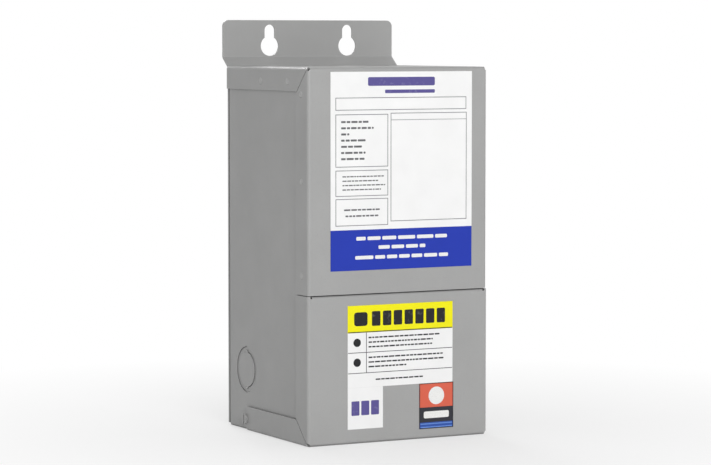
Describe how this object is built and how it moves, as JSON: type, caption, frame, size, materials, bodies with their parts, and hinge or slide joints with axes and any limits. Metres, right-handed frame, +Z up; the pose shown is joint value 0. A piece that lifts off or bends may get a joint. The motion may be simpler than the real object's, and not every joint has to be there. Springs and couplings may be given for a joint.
{
  "type": "wall-mounted encapsulated buck-boost transformer",
  "caption": "Wall-mounted encapsulated transformer in a grey sheet-metal enclosure with a keyhole mounting flange and a removable wiring cover.",
  "frame": {"origin": "centre of the enclosure's footprint on the underside of the bottom panel", "axes": "+Z up, the front with the labels faces -Y, the mounting flange is at +Y, +X to the right seen from the front"},
  "size_m": [0.1306, 0.1251, 0.2632],
  "materials": {
    "grey_powder_coat": "semi-matte powder coat",
    "painted_screw": "semi-matte, worn in the slot",
    "potting_resin": "matte cast resin with sand",
    "label_white": "satin vinyl",
    "label_blue": "satin printed vinyl",
    "label_yellow": "satin printed vinyl",
    "sticker_orange": "satin printed vinyl",
    "sticker_dark": "satin printed vinyl",
    "sticker_blue": "satin printed vinyl"
  },
  "bodies": {
    "root": {"back_panel": "grey_powder_coat", "left_side": "grey_powder_coat", "right_side": "grey_powder_coat", "upper_cover": "grey_powder_coat", "lower_cover": "grey_powder_coat", "potted_core": "potting_resin", "knockout_ring_left": "grey_powder_coat", "knockout_slug_left": "grey_powder_coat", "knockout_ring_right": "grey_powder_coat", "knockout_slug_right": "grey_powder_coat", "cover_screw_left": "painted_screw", "cover_screw_right": "painted_screw", "rating_label": "label_white", "rating_label_band": "label_blue", "info_label_header": "label_yellow", "info_label_table": "label_white", "code_label": "label_white", "badge_field": "sticker_orange", "badge_band": "sticker_dark", "badge_foot": "sticker_blue"}
  },
  "joints": []
}
